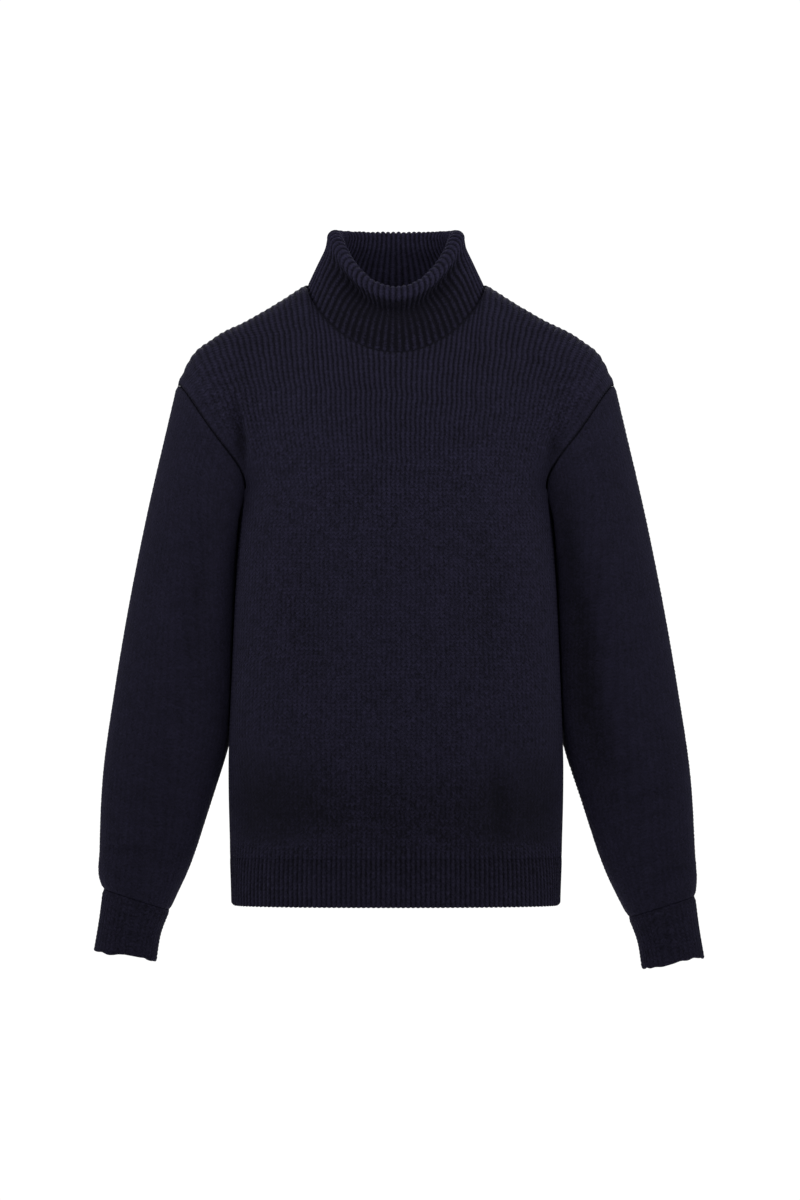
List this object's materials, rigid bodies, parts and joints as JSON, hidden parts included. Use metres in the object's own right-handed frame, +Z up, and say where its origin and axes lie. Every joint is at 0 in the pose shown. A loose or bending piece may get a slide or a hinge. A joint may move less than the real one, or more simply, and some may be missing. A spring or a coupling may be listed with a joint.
{
  "type": "turtleneck sweater",
  "caption": "Hollow ribbed wool turtleneck sweater, filled out as worn, with a folded roll collar, dropped shoulders, long sleeves, ribbed cuffs and a ribbed hem band.",
  "frame": {"origin": "midway between the two points where the neck seam meets the shoulder seams, where the shoulders carry the garment", "axes": "+X across the shoulders towards the viewer's right, -Y to the front of the garment, +Z up"},
  "size_m": [0.6792, 0.2426, 0.8214],
  "materials": {
    "body_knit": "matt navy wool in a wide rib",
    "rib_knit": "matt navy wool in a close rib"
  },
  "bodies": {
    "root": {"front_panel": "body_knit", "back_panel": "body_knit", "front_hem_rib": "rib_knit", "back_hem_rib": "rib_knit", "sleeve_left": "body_knit", "sleeve_right": "body_knit", "cuff_left": "rib_knit", "cuff_right": "rib_knit", "collar": "rib_knit"}
  },
  "joints": []
}
